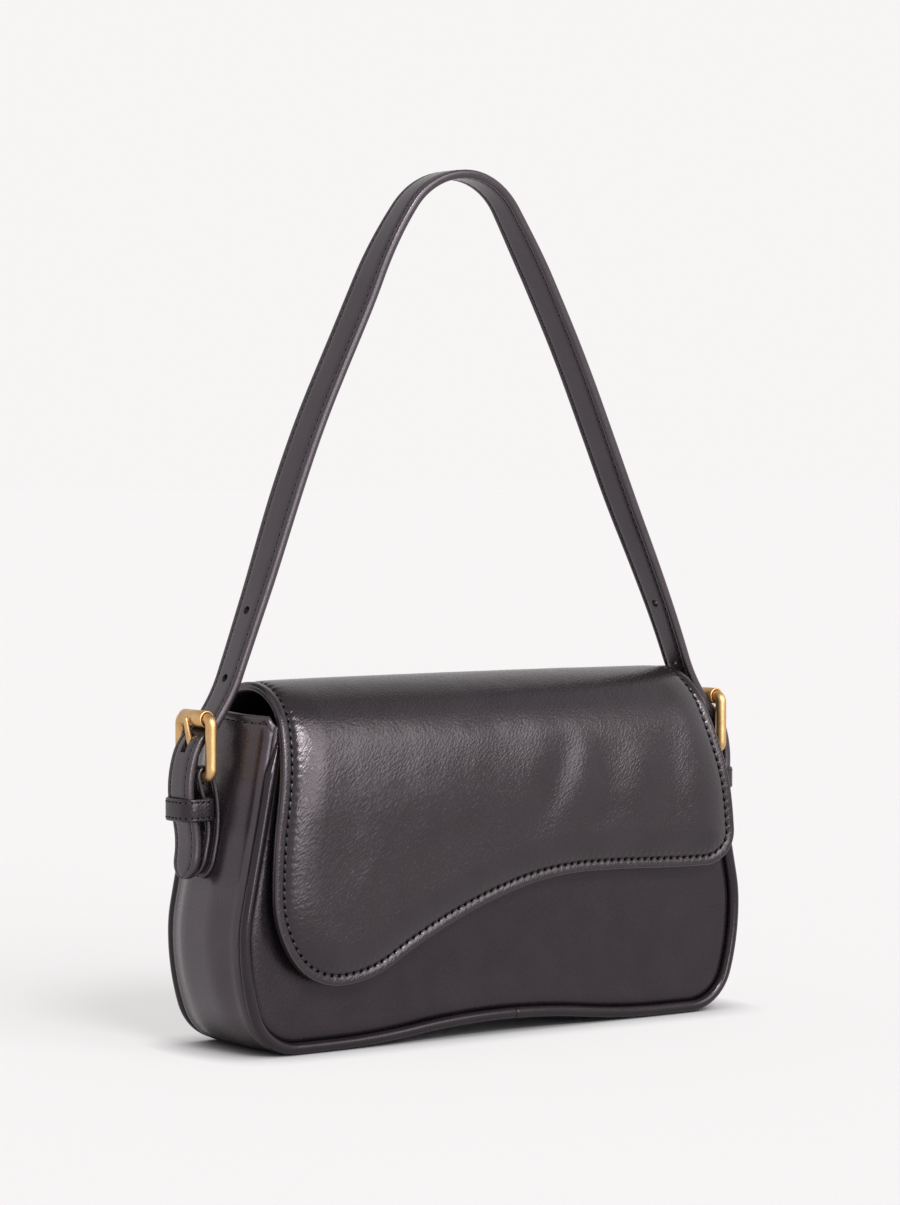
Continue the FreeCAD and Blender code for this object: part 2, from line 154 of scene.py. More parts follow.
# Strap and its buckles
half_strap = 8.0
strap_t = 3.6
wire_r = 2.4
wire_sides = 28
roller_r = 3.5
strap_clear = 0.3
frame_corner_r = 2.6
frame_half = 11.3
buckle_x = (frame_low[0] + frame_high[0]) / 2
heel_z = frame_low[2] + wire_r
toe_z = frame_high[2] - wire_r
heel, toe = np.array([buckle_x, heel_z]), np.array([buckle_x, toe_z])
pivot_z = toe_z + 12.3
apex_x = -2.0
apex_z = node_mm("strap_face")[1][2]
crown_shift = -5.0
wrap_lean, pass_lean = 58.0, 34.5
# Height and lean up a leg, each leg's bow (reach, middle, half spread), and where on each its twist ends
leg_leans = [
    (pivot_z - half_strap, pass_lean), (pivot_z + 5.5, 21.0), (pivot_z + 35.0, 24.7), (apex_z - 46.0, 24.7)]
leg_bow = {"right": (3.9, 285.0, 75.0), "left": (4.2, 236.0, 80.0)}
leg_twist = 0.19
leg_twist_z = (toe_z + 8, pivot_z + 85)
untwist_below = ((42, 62), (3, 8))
hole_r = 1.75
hole_zs = (pivot_z + 3.5, pivot_z + 30.5)
punch = (-3, 8)
seam_z = 147.0
seam_half = 0.3
seam_depths = (3.1, 6.0)
strap_stitch_in = 2.5
prong_lean = math.degrees(math.asin((roller_r + 1.3) / (toe_z - heel_z)))
prong_swing = (-3, 14.2)
prong_room = 1.65
prong_reach = 29.0
prong_slot_half = 1.8
chape_t = 1.8
chape_gap = 2.3
chape_fit = 0.05
chape_slot = (-4.1, 9.0)
sewn_gap = 0.1
keeper_t = 1.5
keeper_crown = 1.0
keeper_flat_in = 0.8
keeper_clear = 0.3
keeper_corner_r = 4.4
keeper_groove = 0.16
keeper_thread_r = 0.22
keeper_stitch_in = 1.5
keeper_stitch_pitch = 2.6
thread_r = 0.27
stitch_pitch = 3.6
stitch_share = 0.7
stitch_slant = 9.0
stitch_sink = 0.3
grain_stretch = 2.4
arc_step = 0.5


# Lines and grids of points


def unit(degrees):
    return np.array([math.cos(math.radians(degrees)), math.sin(math.radians(degrees))])


def circle(count):
    return np.arange(count) * 2 * math.pi / count


def normalized(vectors):
    return vectors / np.linalg.norm(vectors, axis=-1, keepdims=True)


def upright(points, y):
    """Points (x, z) set at this depth."""
    return np.stack([points[..., 0], np.broadcast_to(y, points.shape[:-1]), points[..., 1]], -1)


def lengths(points):
    """Distances along a line of points."""
    steps = np.linalg.norm(np.diff(points, axis=0), axis=1)
    return np.concatenate([[0], np.cumsum(steps)])


def sample(values, along, distance):
    """Values at these distances along a line."""
    return np.stack([np.interp(distance, along, column) for column in values.T], -1)


def mixed(first, second, share):
    return first * (1 - share) + second * share


def smoothstep(value, low, high):
    share = np.clip((np.asarray(value, float) - low) / (high - low), 0, 1)
    return share * share * (3 - 2 * share)


def rough(u, v, size, seed):
    """Smooth noise over a grid, with features of about this size."""
    start = Vector((seed, seed, seed))
    found = [noise.noise(Vector((a, b, 0)) / size + start) for a, b in zip(u.ravel(), v.ravel())]
    return np.reshape(found, u.shape)


def shifted(nodes, distance):
    """A parallel run of nodes, this far to the left of travel."""
    return [(*((a, b) + distance * unit(angle + 90)), angle) for a, b, angle in nodes]


def mirrored(nodes, turn):
    """A run's other half, back from its last node. Directions add up to this turn."""
    return [(-a, b, turn - angle) for a, b, angle in reversed(nodes)]


def arc_points(start, corner, end):
    """Points and headings on the arc from start to end that rounds a corner."""
    into, out = corner - start, end - corner
    heading = math.atan2(into[1], into[0])
    turn = math.remainder(math.atan2(out[1], out[0]) - heading, 2 * math.pi)
    length = math.dist(start, end) / np.sinc(turn / 2 / math.pi)
    count = max(2, math.ceil(length / arc_step))
    share = np.arange(count) / count
    reach = length * share * np.sinc(turn * share / 2 / math.pi)
    way = heading + turn * share / 2
    return start + np.stack([np.cos(way), np.sin(way)], 1) * reach[:, None], heading + turn * share


class Run:
    """A planar curve of arcs through nodes (first, second, direction in degrees), by distance along it."""

    def __init__(self, nodes):
        arcs = []
        for (*a, a_angle), (*b, b_angle) in zip(nodes, nodes[1:]):
            a, b = np.array(a), np.array(b)
            ta, tb = unit(a_angle), unit(b_angle)
            chord = b - a
            along, square = chord @ (ta + tb), chord @ chord
            spread = 2 * (1 - ta @ tb)
            if spread < 1e-12:
                reach = square / (2 * along)
            else:
                reach = (math.sqrt(along ** 2 + spread * square) - along) / spread
            first, second = a + ta * reach, b - tb * reach
            joint = (first + second) / 2
            arcs += [arc_points(a, first, joint), arc_points(joint, second, b)]
        arcs.append(([nodes[-1][:2]], [math.radians(nodes[-1][2])]))
        self.points, headings = (np.concatenate(column) for column in zip(*arcs))
        self.headings = np.unwrap(headings)
        self.along = lengths(self.points)
        self.length = self.along[-1]

    def at(self, distance):
        return sample(self.points, self.along, distance)

    def left(self, distance):
        """Unit normals to the left of travel at these distances."""
        heading = np.interp(distance, self.along, self.headings)
        return np.stack([-np.sin(heading), np.cos(heading)], -1)

    def where(self, value):
        """The first distance at which the second coordinate passes this value."""
        level = self.points[:, 1]
        index = np.argmax((level > value) != (level[0] > value))
        pair = slice(index - 1, index + 1)
        (low, high), (start, end) = level[pair], self.along[pair]
        return mixed(start, end, (value - low) / (high - low))


def capped(rows):
    """Rows of a tube with a point added at each end, so that it closes."""
    first, last = (np.broadcast_to(end.mean(0), end.shape)[None] for end in (rows[0], rows[-1]))
    return np.concatenate([first, rows, last])


def tube(centre, out, radius, count):
    """A round tube along planar points: its points in the plane, and how far each is off it."""
    radius = np.broadcast_to(radius, len(centre))[:, None]
    around = circle(count)
    return centre[:, None] + out[:, None] * (radius * np.cos(around))[..., None], radius * np.sin(around)


class Build:
    """Collects grids of points, mirrored across X for the left side (-1), and makes one mesh of them."""

    def __init__(self, sign=1):
        self.points, self.faces, self.slots = [], [], []
        self.count = 0
        self.sign = sign

    def add(self, points):
        points = np.asarray(points, float) * (self.sign, 1, 1)
        ids = self.count + np.arange(points.size // 3).reshape(points.shape[:-1])
        self.points.append(points.reshape(-1, 3))
        self.count += points.size // 3
        return ids

    def quads(self, ids, slot=0, loop_rows=False, loop_cols=False):
        ids = np.pad(ids, ((0, loop_rows), (0, loop_cols)), "wrap")
        corners = [ids[:-1, :-1], ids[:-1, 1:], ids[1:, 1:], ids[1:, :-1]]
        faces = np.stack(corners, -1).reshape(-1, 4)
        self.faces.append(faces)
        self.slots.append(np.full(len(faces), slot))

    def grid(self, points, slot=0, loop_rows=False):
        ids = self.add(points)
        self.quads(ids, slot, loop_rows, loop_cols=True)
        return ids

    def sheet(self, points, thickness):
        """A grid given this thickness towards the bag's middle, and closed round its edges."""
        normals = np.cross(np.gradient(points, axis=0), np.gradient(points, axis=1))
        size = np.linalg.norm(normals, axis=-1, keepdims=True)
        normals = normals / np.maximum(size, 1e-9)
        normals[0], normals[-1] = normals[1], normals[-2]
        inwards = np.sign((normals * size * (np.array([0, 0, arch_top / 2]) - points)).sum())
        faces = [self.add(points), self.add(points + normals * inwards * thickness)]
        for ids in faces:
            self.quads(ids)
        rims = [np.concatenate([ids[0, :-1], ids[:-1, -1], ids[-1, :0:-1], ids[:0:-1, 0]]) for ids in faces]
        self.quads(np.stack(rims), loop_cols=True)

    def piece(self, name, materials):
        """The finished object, in metres and in the frame of the part."""
        points = (np.concatenate(self.points) + (0, mid_y, 0)) * MM
        mesh = bpy.data.meshes.new(name)
        mesh.from_pydata(points.tolist(), [], np.concatenate(self.faces).tolist())
        mesh.polygons.foreach_set("material_index", np.concatenate(self.slots))
        for look in materials:
            mesh.materials.append(look)
        work = bmesh.new()
        work.from_mesh(mesh)
        bmesh.ops.remove_doubles(work, verts=work.verts, dist=1e-6)
        bmesh.ops.recalc_face_normals(work, faces=work.faces)
        work.to_mesh(mesh)
        work.free()
        mesh.shade_smooth()
        return placed(name, mesh)


def placed(name, data):
    """A new object in the scene."""
    obj = bpy.data.objects.new(name, data)
    bpy.context.scene.collection.objects.link(obj)
    return obj


def sharpened(mesh):
    mesh.set_sharp_from_angle(angle=math.radians(50))


def cutter(ends):
    """A closed mesh to cut with, from the outlines of its two ends."""
    build = Build()
    build.grid(capped(np.array(ends)))
    return build.piece("cutter", [])


def rod(start, end, radius):
    """A round bar, to cut with."""
    axis = normalized(end - start)
    side = normalized(np.cross(axis, (0, 1, 0)))
    around = circle(wire_sides)[:, None]
    ring = (np.cos(around) * side + np.sin(around) * np.cross(axis, side)) * radius
    return cutter([start + ring, end + ring])


def prism(outline, half, sign=1):
    """A prism of an (x, z) outline, to cut with."""
    return cutter([upright(np.array(outline) * (sign, 1), y) for y in (-half, half)])


def cut(obj, cutters):
    """Cuts closed meshes out of a piece and deletes them."""
    for tool in cutters:
        modifier = obj.modifiers.new("cut", "BOOLEAN")
        modifier.object = tool
        modifier.operation = "DIFFERENCE"
        modifier.solver = "EXACT"
    graph = bpy.context.evaluated_depsgraph_get()
    mesh = bpy.data.meshes.new_from_object(obj.evaluated_get(graph))
    obj.modifiers.clear()
    obj.data = mesh
    sharpened(mesh)
    for tool in cutters:
        bpy.data.meshes.remove(tool.data)


# Materials


class Nodes:
    """The shader of a material or a world, and the nodes that feed it."""

    def __init__(self, owner, shader, **values):
        owner.use_nodes = True
        self.owner = owner
        self.tree = owner.node_tree
        self.shader = self.tree.nodes[shader]
        for key, value in values.items():
            self.shader.inputs[key.replace("_", " ")].default_value = value

    def node(self, kind, **settings):
        made = self.tree.nodes.new(kind)
        for key, value in settings.items():
            if key in made.inputs.keys():
                made.inputs[key].default_value = value
            else:
                setattr(made, key, value)
        return made

    def link(self, source, output, target, value):
        self.tree.links.new(source.outputs[output], target.inputs[value])

    def feed(self, **sources):
        """Links colours, or a bump's normal, to the shader."""
        for key, source in sources.items():
            output = "Normal" if key == "Normal" else "Color"
            self.link(source, output, self.shader, key.replace("_", " "))
        return self.owner

    def texture(self, kind, size, slant=0, stretch=1, **settings):
        """A texture with features of about this size, turned about Y and stretched along the turned Z."""
        where = self.node("ShaderNodeTexCoord")
        turn = (0, math.radians(slant), 0)
        mapping = self.node("ShaderNodeMapping", vector_type="TEXTURE", Scale=(1, 1, stretch), Rotation=turn)
        made = self.node("ShaderNodeTex" + kind, Scale=1 / (size * MM), **settings)
        self.link(where, "Object", mapping, "Vector")
        self.link(mapping, "Vector", made, "Vector")
        return made

    def ramp(self, source, *stops, output="Fac"):
        made = self.node("ShaderNodeValToRGB")
        for stop, (position, color) in zip(made.color_ramp.elements, stops):
            stop.position = position
            stop.color = (*color, 1) if isinstance(color, tuple) else (color, color, color, 1)
        self.link(source, output, made, "Fac")
        return made

    def bump(self, source, height, below=None, output="Fac"):
        """A bump of this height, on top of another."""
        made = self.node("ShaderNodeBump", Strength=1.0, Distance=height * MM)
        self.link(source, output, made, "Height")
        if below:
            self.link(below, "Normal", made, "Normal")
        return made

    def seen_as(self, other, share=1.0):
        """Mixes in another shader for what is seen directly, through glass or in a reflection."""
        end = self.shader.outputs[0].links[0].to_socket
        path = self.node("ShaderNodeLightPath")
        seen = path.outputs["Is Camera Ray"]
        for kind in ("Is Transmission Ray", "Is Glossy Ray"):
            either = self.node("ShaderNodeMath", operation="MAXIMUM")
            self.tree.links.new(seen, either.inputs[0])
            self.link(path, kind, either, 1)
            seen = either.outputs[0]
        part = self.node("ShaderNodeMath", operation="MULTIPLY")
        part.inputs[1].default_value = share
        self.tree.links.new(seen, part.inputs[0])
        mix = self.node("ShaderNodeMixShader")
        for socket, source in enumerate((part, self.shader, other)):
            self.link(source, 0, mix, socket)
        self.tree.links.new(mix.outputs[0], end)


def material(name, **values):
    return Nodes(bpy.data.materials.new(name), "Principled BSDF", **values)


def leather(name, shade, roughness, grain, crease, gloss_level, mottle=0.0, tint=(1.0, 0.87, 0.98)):
    """Finished calf leather: fine slanting grain, soft creases and slightly varied gloss."""
    made = material(name, Specular_IOR_Level=gloss_level, Specular_Tint=(*tint, 1))
    pores = made.texture("Voronoi", 0.8, 42, grain_stretch, feature="SMOOTH_F1", Smoothness=0.6)
    fine = made.texture("Noise", 0.6, 50, grain_stretch, Detail=1.0)
    soft = made.texture("Noise", 14.0, Detail=1.0)
    dark, light = (tuple(c * share for c in shade) for share in (0.82, 1.15))
    tone = made.ramp(soft, (0.3, dark), (0.7, light))
    gloss = made.ramp(fine, (0.3, roughness - 0.05), (0.7, roughness + 0.07))
    deep = made.bump(soft, crease)
    if mottle:
        deep = made.bump(made.texture("Noise", 5.0, Detail=1.0), mottle, deep)
    mid = made.bump(pores, grain, deep, output="Distance")
    return made.feed(Base_Color=tone, Roughness=gloss, Normal=made.bump(fine, grain * 0.9, mid))


def thread_material():
    made = material("thread", Base_Color=(0.02, 0.0185, 0.02, 1), Roughness=0.5)
    twist = made.texture("Wave", 1.4, Distortion=0.5)
    return made.feed(Normal=made.bump(twist, 0.08))


def hole_shade_material():
    """Painted shade: near-black and matte, standing in for the dark inside of a needle hole."""
    made = material("needle_hole_shade", Roughness=1.0, Specular_IOR_Level=0.0)
    dust = made.texture("Noise", 0.4)
    return made.feed(Base_Color=made.ramp(dust, (0.3, 0.001), (0.7, (0.003, 0.0026, 0.0028))))


def brass_material():
    """Satin brass, darker where handling hasn't kept it bright."""
    made = material("brass_satin", Metallic=1.0)
    cloud = made.texture("Noise", 5.0, Detail=3.0)
    grit = made.texture("Noise", 0.22, Detail=2.0)
    tone = made.ramp(cloud, (0.3, (0.55, 0.335, 0.142)), (0.72, (0.685, 0.45, 0.225)))
    gloss = made.ramp(grit, (0.3, 0.37), (0.7, 0.48))
    return made.feed(Base_Color=tone, Roughness=gloss, Normal=made.bump(grit, 0.012))


def cloth_material():
    """The lining's plain weave."""
    made = material("lining_weave", Roughness=0.85, Specular_IOR_Level=0.2, Sheen_Weight=0.15)
    warp, weft = (made.texture("Wave", 4.0, bands_direction=way) for way in "XZ")
    tone = made.ramp(warp, (0.0, (0.085, 0.077, 0.08)), (1.0, (0.13, 0.118, 0.122)))
    return made.feed(Base_Color=tone, Normal=made.bump(weft, 0.06, made.bump(warp, 0.06)))


BLACK = (0.0095, 0.0071, 0.0087)
LEATHER = leather("leather_grain", BLACK, 0.27, 0.08, 0.06, 0.45)
PADDED = leather("leather_padded", BLACK, 0.26, 0.08, 0.1, 0.52, 0.05, (1.0, 0.89, 0.95))
PANEL = leather("leather_panel", BLACK, 0.28, 0.045, 0.04, 0.38)
SMOOTH = leather("leather_smooth", (0.02, 0.0158, 0.0178), 0.3, 0.015, 0.03, 0.7)
SUEDE = leather("leather_suede", (0.048, 0.044, 0.05), 0.75, 0.03, 0.05, 0.2)
CORDED = leather("leather_corded", (0.0095, 0.0076, 0.0086), 0.21, 0.012, 0.02, 0.36)
EDGE = leather("leather_edge", (0.0115, 0.009, 0.0103), 0.32, 0.01, 0.03, 0.9)
# Painted shade for the needle holes and the piping's join
HOLE_SHADE = hole_shade_material()
THREAD = thread_material()
BRASS = brass_material()
CLOTH = cloth_material()


# Sewing


def stitch_form():
    """One stitch, a short thread whose ends dive into their holes, as points (along, across, up)."""
    stations = [(-1.0, 0.0), (-0.86, 0.6), (-0.45, 1.0), (0.45, 1.0), (0.86, 0.6), (1.0, 0.0)]
    along, radius = np.array(stations).T[..., None]
    around = circle(8)
    up = radius * np.sin(around) + 0.5 - 1.1 * along ** 4
    return np.stack(np.broadcast_arrays(along, radius * np.cos(around), up), -1)


def stitch(build, points, normals, pitch, closed=False, radius=thread_r, hole_shade_r=0.5):
    """Sews along a line on a surface, with a whole number of stitches at about this pitch."""
    if closed:
        points, normals = (np.vstack([a, a[:1]]) for a in (points, normals))
    along = lengths(points)
    count = max(1, round(along[-1] / pitch))
    spacing = along[-1] / count
    middle = (np.arange(count) + 0.5) * spacing
    centre = sample(points, along, middle)
    up = normalized(sample(normals, along, middle))
    reach = stitch_share * spacing / 2
    tangent = normalized(sample(points, along, middle + reach) - sample(points, along, middle - reach))
    across = np.cross(up, tangent)
    ca, sa = unit(stitch_slant)
    tangent, across = tangent * ca + across * sa, across * ca - tangent * sa
    form = stitch_form()
    for c, t, a, u in zip(centre, tangent, across, up):
        build.grid(c + form[..., :1] * reach * t + (form[..., 1:2] * a + form[..., 2:] * u) * radius)
    # Each needle hole is a near-black disc just above the leather, with a short cone under it: painted shade
    # for the hole
    around = circle(8)[:, None]
    holes = sample(points, along, middle - spacing / 2) + up * 0.1
    for c, t, a, u in zip(holes, tangent, across, up):
        ring = c + hole_shade_r * (1.15 * np.cos(around) * t + 0.9 * np.sin(around) * a)
        build.grid(np.array([np.tile(c, (8, 1)), ring, np.tile(c - 0.3 * u, (8, 1))]), 1)


# Body


def body_nodes(swell=0.0):
    """The body's outline from its left mouth corner, round the base, to the right one."""
    side_x = half_width + swell
    foot_outer = half_width - corner_run
    right = [
        (0, base_rise, 0),
        (foot_outer - foot_length, 0, 0),
        (foot_outer, 0, 0),
        (side_x, widest_z, 90),
        (side_x - seat_low_in, seat_low_z, 90 + seat_lean),
        (side_x - seat_low_in - seat_rise_in, seat_low_z + seat_length, 90 + seat_lean),
        (half_width - mouth_in + (mouth_swell if swell else 0), mouth_z, 90 + mouth_lean),
    ]
    return mirrored(right, 0) + right[1:]


# The flap's outer face from the side: up the front, over the arch and down the back
flap_side = [
    (-flap_front, 0, 90),
    (-flap_front, arch_top - front_shoulder_drop, 90),
    (arch_y, arch_top, 0),
    (flap_back, arch_top - back_shoulder_drop, -90),
    (flap_back, 0, -90),
]
PROFILE = Run(flap_side)
TOP = np.argmax(PROFILE.points[:, 1])
TOP_S = PROFILE.along[TOP]
ARCH = Run(shifted(flap_side, -flap_t))


def under_arch(y):
    """The height of the arch's inner face above this depth."""
    order = np.argsort(ARCH.points[:, 0])
    return np.interp(y, ARCH.points[order, 0], ARCH.points[order, 1])


def arch_reach(z, side):
    """The depth of the arch's inner face at this height, on the front (-1) or the back (1)."""
    branch = ARCH.points[ARCH.points[:, 0] * side > arch_y * side]
    order = np.argsort(branch[:, 1])
    return np.interp(z, branch[order, 1], branch[order, 0] * side)


def gusset():
    """The strip round the sides and the base, its edges rolled in and its ends hemmed."""
    plain, swollen = Run(body_nodes()), Run(body_nodes(side_swell))
    # Across the strip (depth, rise) from an edge to the middle, and along it (distance, rise) from an end
    edge = np.array([
        (half_gusset, -3.4), (24.75, -2.0), (24.3, -0.8), (23.5, -0.15), (22.5, 0.0), (21.4, -0.15),
        (20.2, -0.4), (18.8, -0.45), (16.5, -0.3), (13.5, -0.1), (10.0, 0.0), (6.5, 0.0), (3.0, 0.0)])
    hem = np.array([
        (15, -2.3), (9, -2.5), (4, -2.4), (1.4, -2.3), (0.5, -1.9), (0.0, -1.3), (0.1, -0.7), (0.5, -0.2),
        (1.1, 0.05), (2.0, 0.05), (2.9, -0.1), (3.4, -0.35), (3.9, -0.1), (4.8, 0.08), (8.0, 0.05)])
    y = np.concatenate([-edge[:, 0], [0], edge[::-1, 0]])
    roll = np.concatenate([edge[:, 1], [0], edge[::-1, 1]])
    swell = smoothstep(half_gusset - np.abs(y), 0, swell_run)
    top_z = np.minimum(hem_top_z - hem_fall * np.maximum(0, hem_fall_y - y), under_arch(y) + hem_tuck)
    drop = (mouth_z - top_z) / math.cos(math.radians(mouth_lean))
    inner = np.arange(hem_end, plain.length - hem_end, body_step)
    place = np.concatenate([hem[:, 0], inner, plain.length - hem[::-1, 0]])
    lift = np.concatenate([hem[:, 1], np.zeros(len(inner)), hem[::-1, 1]])

    def row(distance, rise):
        from_end = min(distance, plain.length - distance)
        slip = drop * (1 - smoothstep(from_end, *hem_slip))
        along = distance + np.where(distance < plain.length / 2, slip, -slip)
        bulge = swollen.at(along / plain.length * swollen.length)
        points = mixed(plain.at(along), bulge, swell[:, None])
        return upright(points - plain.left(along) * (roll + rise)[:, None], y)

    build, thread = Build(), Build()
    build.sheet(np.array([row(d, r) for d, r in zip(place, lift)]), leather_t)
    for end in (hem_stitch, plain.length - hem_stitch):
        line = row(end, -stitch_sink)[4:-4]
        stitch(thread, line, upright(-plain.left(np.full(len(line), end)), 0), stitch_pitch)
    piece = build.piece("gusset_leather", [SMOOTH])
    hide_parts("gusset")
    return [piece, thread.piece("gusset_thread", [THREAD, HOLE_SHADE])]


def piping(side, name):
    """The corded edge of the front (-1) or the back (1), its ends drawn in under the hem."""
    run = Run(shifted(body_nodes(), piping_in))
    start = run.where(piping_top_z)
    join_at = run.length / 2 - side * piping_join_x
    fine = join_at + np.array([-0.6, -0.35, -0.15, 0.0, 0.15, 0.35, 0.6])
    even = np.arange(start, run.length - start, body_step)
    distance = np.sort(np.concatenate([even[np.abs(even - join_at) > 0.9], fine]))
    ends = 1 - smoothstep(np.minimum(distance - start, run.length - start - distance), 0, piping_end)
    groove = piping_join_groove * (1 - smoothstep(np.abs(distance - join_at), 0.05, 0.4))
    inside = run.left(distance)
    centre = run.at(distance) + inside * (piping_end_in * ends)[:, None]
    points, aside = tube(centre, -inside, piping_r * (1 - piping_end_thin * ends) - groove, 20)
    rows = capped(upright(points, (side * (half_depth - piping_end_y * ends))[:, None] + aside))
    join = np.argmin(np.abs(distance - join_at))
    build = Build()
    # The rows at the join take the painted hole shade: a near-black line for the gap between the cord's two
    # ends
    for part, slot in ((rows[:join + 1], 0), (rows[join:join + 3], 1), (rows[join + 2:], 0)):
        build.grid(part, slot)
    piece = build.piece(name + "_leather", [CORDED, HOLE_SHADE])
    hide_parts(name)
    return piece


def walls(inset, top_z, rows, cols):
    """A grid of (x, z) from the outline, drawn in, up to a straight top edge, and that outline."""
    run = Run(shifted(body_nodes(), inset))
    start = run.where(top_z)
    rim = run.at(np.linspace(start, run.length - start, rows))
    top = mixed(rim[0], rim[-1], np.linspace(0, 1, rows)[:, None])
    rise = (np.linspace(0, 1, cols) ** 1.7)[None, :, None]
    return mixed(rim[:, None], top[:, None], rise), rim


def nearest(points, line):
    """The distance from each point to a line of points."""
    parts = np.array_split(points.reshape(-1, 2), 40)
    found = [np.sqrt(((part[:, None] - line[None]) ** 2).sum(-1)).min(1) for part in parts]
    return np.concatenate(found).reshape(points.shape[:-1])


def panel(side, name):
    """A crowned panel that comes up from behind the piping and is hemmed along its top edge."""
    grid, rim = walls(panel_in, panel_top_z, 240, 48)
    inward = nearest(grid, rim)
    depth = np.interp(inward, [0, 0.6, 1.4, 2.4, 3.6, 5.4, 10, 18, 28, 40, 70],
                      [24.0, 25.0, 26.0, 26.75, 27.15, 27.4, 27.5, 27.8, 28.5, 29.1, 29.3])
    x, z = grid[..., 0], grid[..., 1]
    depth = depth + panel_wave * rough(x, z, 45.0, side * 3.1) * smoothstep(inward, 8, 30)
    depth = np.minimum(depth, arch_reach(z, side) - panel_clear)
    sheet = upright(grid, side * depth)
    fold = [(0.5, 0.3), (1.2, 0.5), (2.0, 0.2), (2.4, -1.0), (2.5, -9.0)]
    turned = np.stack([sheet[:, -1] + (0, -side * inwards, rise) for inwards, rise in fold], 1)
    build = Build()
    build.sheet(np.concatenate([sheet, turned], 1), leather_t)
    piece = build.piece(name + "_leather", [PANEL])
    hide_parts(name, name.replace("panel", "board"))
    return piece


def lining():
    """The cloth inside: down the front, round the base and sides, and up the back."""
    grid, rim = walls(lining_in, lining_top_z, 200, 26)
    x, z = grid[..., 0], grid[..., 1]
    sag = lining_sag * rough(x, z, 30.0, 7.7) * smoothstep(nearest(grid, rim), 3, 15)
    reach = [np.minimum(lining_half, arch_reach(z, side) - lining_clear) for side in (-1, 1)]
    front = upright(grid, -reach[0] + sag)[:, ::-1]
    base = np.stack([upright(rim, y) for y in np.linspace(-lining_half, lining_half, 15)[1:-1]], 1)
    build = Build()
    build.sheet(np.concatenate([front, base, upright(grid, reach[1] - sag)], 1), lining_t)
    piece = build.piece("lining_cloth", [CLOTH])
    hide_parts("lining", "base_board")
    return piece


# Flap


# The flap's outline from the front, from its top left corner round to its top right one
flap_outline = [
    (-flap_half_top, arch_top, -90 - flap_lean),
    (-flap_half_side + 2.1, flap_side_z - 14, -90),
    (-87.0, 27.6, 0),
    (-34.0, 48.0, 24),
    (41.0, 66.0, 0),
    (flap_half_side - 16.5, 64.6, 0),
    (flap_half_side, flap_side_z, 90 + flap_lean),
    (flap_half_top, arch_top, 90 + flap_lean),
]


def flap_loop(wide, high):
    """The flap and its yoke laid flat: a loop (x, distance along the profile)."""
    end_s = np.interp(-yoke_low[2], -PROFILE.points[TOP:, 1], PROFILE.along[TOP:])
    front = Run(flap_outline)
    front_s = np.interp(front.points[:, 1], PROFILE.points[:TOP + 1, 1], PROFILE.along[:TOP + 1])
    x, r = flap_half_top, yoke_corner_r
    half = [(x, TOP_S, 90), (x, end_s - r, 90), (x - r, end_s, 180)]
    back = Run(half + mirrored(half, 360))
    points = np.concatenate([np.stack([front.points[:, 0], front_s], 1), back.points[1:-1]])
    heading = np.degrees(np.concatenate([front.headings, back.headings[1:-1]]))
    turn = len(front.points)
    lobe = np.argmax(heading > -45)
    hem = turn - np.argmax(heading[turn - 1::-1] < 45)
    corners = [lobe, hem] + [turn + np.argmax(heading[turn:] > h) for h in (135, 225)]
    sides = []
    for first, last, count in zip(corners, corners[1:] + corners[:1], (wide, high, wide, high)):
        stretch = np.roll(points, -first, 0)[:(last - first) % len(points) + 1]
        along = lengths(stretch)
        sides.append(sample(stretch, along, np.linspace(0, along[-1], count + 1)[:-1]))
    return np.concatenate(sides)


def inward_normals(loop):
    tangent = normalized(np.roll(loop, -1, 0) - np.roll(loop, 1, 0))
    return np.stack([-tangent[:, 1], tangent[:, 0]], 1)


def filled(loop, wide, high):
    """A relaxed grid that fills a four-sided loop. Its edges are the loop's own points."""
    ids = np.arange(len(loop))
    bottom, right = ids[:wide + 1], ids[wide:wide + high + 1]
    top = ids[wide + high:2 * wide + high + 1][::-1]
    left = np.append(ids[2 * wide + high:], 0)[::-1]
    u = np.linspace(0, 1, wide + 1)[None, :, None]
    v = np.linspace(0, 1, high + 1)[:, None, None]
    low, far, near, off = loop[bottom], loop[top], loop[left][:, None], loop[right][:, None]
    corners = mixed(mixed(low[0], low[-1], u), mixed(far[0], far[-1], u), v)
    grid = mixed(low, far, v) + mixed(near, off, u) - corners
    for _ in range(400):
        grid[1:-1, 1:-1] = (grid[:-2, 1:-1] + grid[2:, 1:-1] + grid[1:-1, :-2] + grid[1:-1, 2:]) / 4
    edge = np.full((high + 1, wide + 1), -1)
    edge[0], edge[-1], edge[:, 0], edge[:, -1] = bottom, top, left, right
    return grid, edge


def on_flap(flat, height):
    """Points of the flat flap laid on its arch, at a height above the outer face."""
    s = flat[..., 1]
    lifted = PROFILE.at(s) + PROFILE.left(s) * np.broadcast_to(height, s.shape)[..., None]
    return np.concatenate([flat[..., :1], lifted], -1)


def puff(s, inward):
    """How far the padding lifts the leather: a broad roll, least over the arch's top."""
    most = puff_top + puff_front * smoothstep(TOP_S - s, 6, 42) + puff_back * smoothstep(s - TOP_S, 10, 40)
    share = np.clip((inward - roll_in) / roll_width, 0, 1)
    return most * (1 - (1 - share) ** 2)


